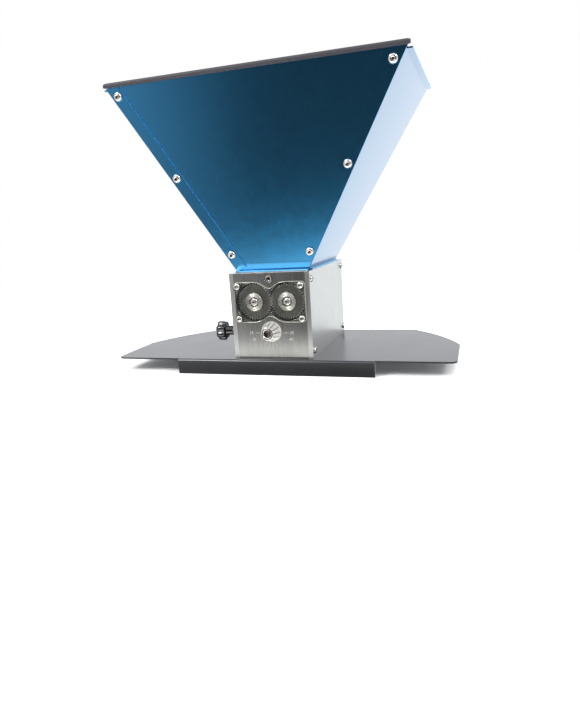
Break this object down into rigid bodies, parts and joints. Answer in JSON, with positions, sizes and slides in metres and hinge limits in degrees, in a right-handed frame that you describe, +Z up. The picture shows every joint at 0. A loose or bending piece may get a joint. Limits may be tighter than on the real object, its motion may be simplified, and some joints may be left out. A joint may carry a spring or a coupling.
{
  "type": "grain mill",
  "caption": "Roller grain mill: a folded blue sheet hopper on a brushed metal body with a clear gear window, gap dial and lock knob, on a flat base plate that sits on a pail.",
  "frame": {"origin": "middle of the mill body in plan, on the floor that the base plate's flaps stand on", "axes": "+Z up, +Y from the dial and gear window towards the driven end of the shaft, +X to the right seen from the dial side"},
  "size_m": [0.408, 0.2208, 0.3251],
  "materials": {
    "black_powder_coat": "satin black powder coat with a fine grain",
    "brushed_aluminium": "aluminium with a fine brushed grain, clear finish",
    "machined_aluminium": "milled aluminium",
    "clear_acrylic": "clear acrylic with polished edges",
    "blue_anodised": "blue anodised aluminium sheet, satin",
    "black_rubber": "soft black rubber",
    "dark_gear_steel": "dark oiled gear steel",
    "roller_steel": "knurled steel",
    "turned_steel": "steel with turning marks",
    "shaft_steel": "ground steel",
    "bearing_steel": "ground bearing steel",
    "turned_aluminium": "turned and polished aluminium",
    "black_plastic": "glossy moulded plastic",
    "black_oxide": "black oxide steel",
    "stainless": "stainless steel"
  },
  "bodies": {
    "mill_body": {"base_plate": "black_powder_coat", "base_screws": "stainless", "drive_bearing_balls": "bearing_steel", "drive_bearing_outer_rings": "bearing_steel", "front_block": "brushed_aluminium", "gear_cover": "clear_acrylic", "gear_cover_screws": "stainless", "hopper_clamp_nuts": "stainless", "hopper_clamp_screws": "stainless", "hopper_front_panel": "blue_anodised", "hopper_left_panel": "blue_anodised", "hopper_nuts": "stainless", "hopper_rear_panel": "blue_anodised", "hopper_right_panel": "blue_anodised", "hopper_screws": "stainless", "rear_block": "brushed_aluminium", "rim_trim_front": "black_rubber", "rim_trim_rear": "black_rubber", "side_plate_left": "brushed_aluminium", "side_plate_right": "brushed_aluminium", "side_plate_screws": "stainless"},
    "drive_roller": {"drive_shaft": "shaft_steel", "drive_roller": "roller_steel", "drive_gear": "dark_gear_steel", "drive_gear_washer": "turned_steel", "drive_gear_screw": "stainless", "drive_bearing_inner_rings": "bearing_steel"},
    "gap_carrier": {"bearing_carrier_front": "machined_aluminium", "bearing_carrier_rear": "machined_aluminium", "idler_bearing_outer_rings": "bearing_steel", "idler_bearing_balls": "bearing_steel"},
    "idler_roller": {"idler_shaft": "shaft_steel", "idler_roller": "roller_steel", "idler_gear": "dark_gear_steel", "idler_gear_washer": "turned_steel", "idler_gear_screw": "stainless", "idler_bearing_inner_rings": "bearing_steel"},
    "gap_dial": {"adjuster_shaft": "shaft_steel", "gap_cams": "shaft_steel", "dial_knob": "turned_aluminium", "dial_set_screw": "black_oxide"},
    "lock_knob": {"lock_screw": "stainless", "star_knob": "black_plastic"}
  },
  "joints": [
    {"name": "drive_turn", "type": "hinge", "parent": "mill_body", "child": "drive_roller", "pos_m": [0.01975, 0, 0.083], "axis": [0, 1, 0], "continuous": true},
    {"name": "gap_slide", "type": "slide", "parent": "mill_body", "child": "gap_carrier", "axis": [1, 0, 0], "range_m": [-0.00075, 0.00075]},
    {"name": "idler_turn", "type": "hinge", "parent": "gap_carrier", "child": "idler_roller", "pos_m": [-0.01975, 0, 0.083], "axis": [0, 1, 0], "continuous": true},
    {"name": "dial_turn", "type": "hinge", "parent": "mill_body", "child": "gap_dial", "pos_m": [0, 0, 0.0495], "axis": [0, 1, 0], "range_deg": [-90, 90]},
    {"name": "lock_turn", "type": "hinge", "parent": "mill_body", "child": "lock_knob", "pos_m": [-0.05, -0.073, 0.0495], "axis": [1, 0, 0], "range_deg": [-360, 270]}
  ],
  "couplings": [
    {"joint": "idler_turn", "follows": "drive_turn", "ratio": -1},
    {"joint": "dial_turn", "follows": "gap_slide", "rad_per_m": -2094}
  ]
}
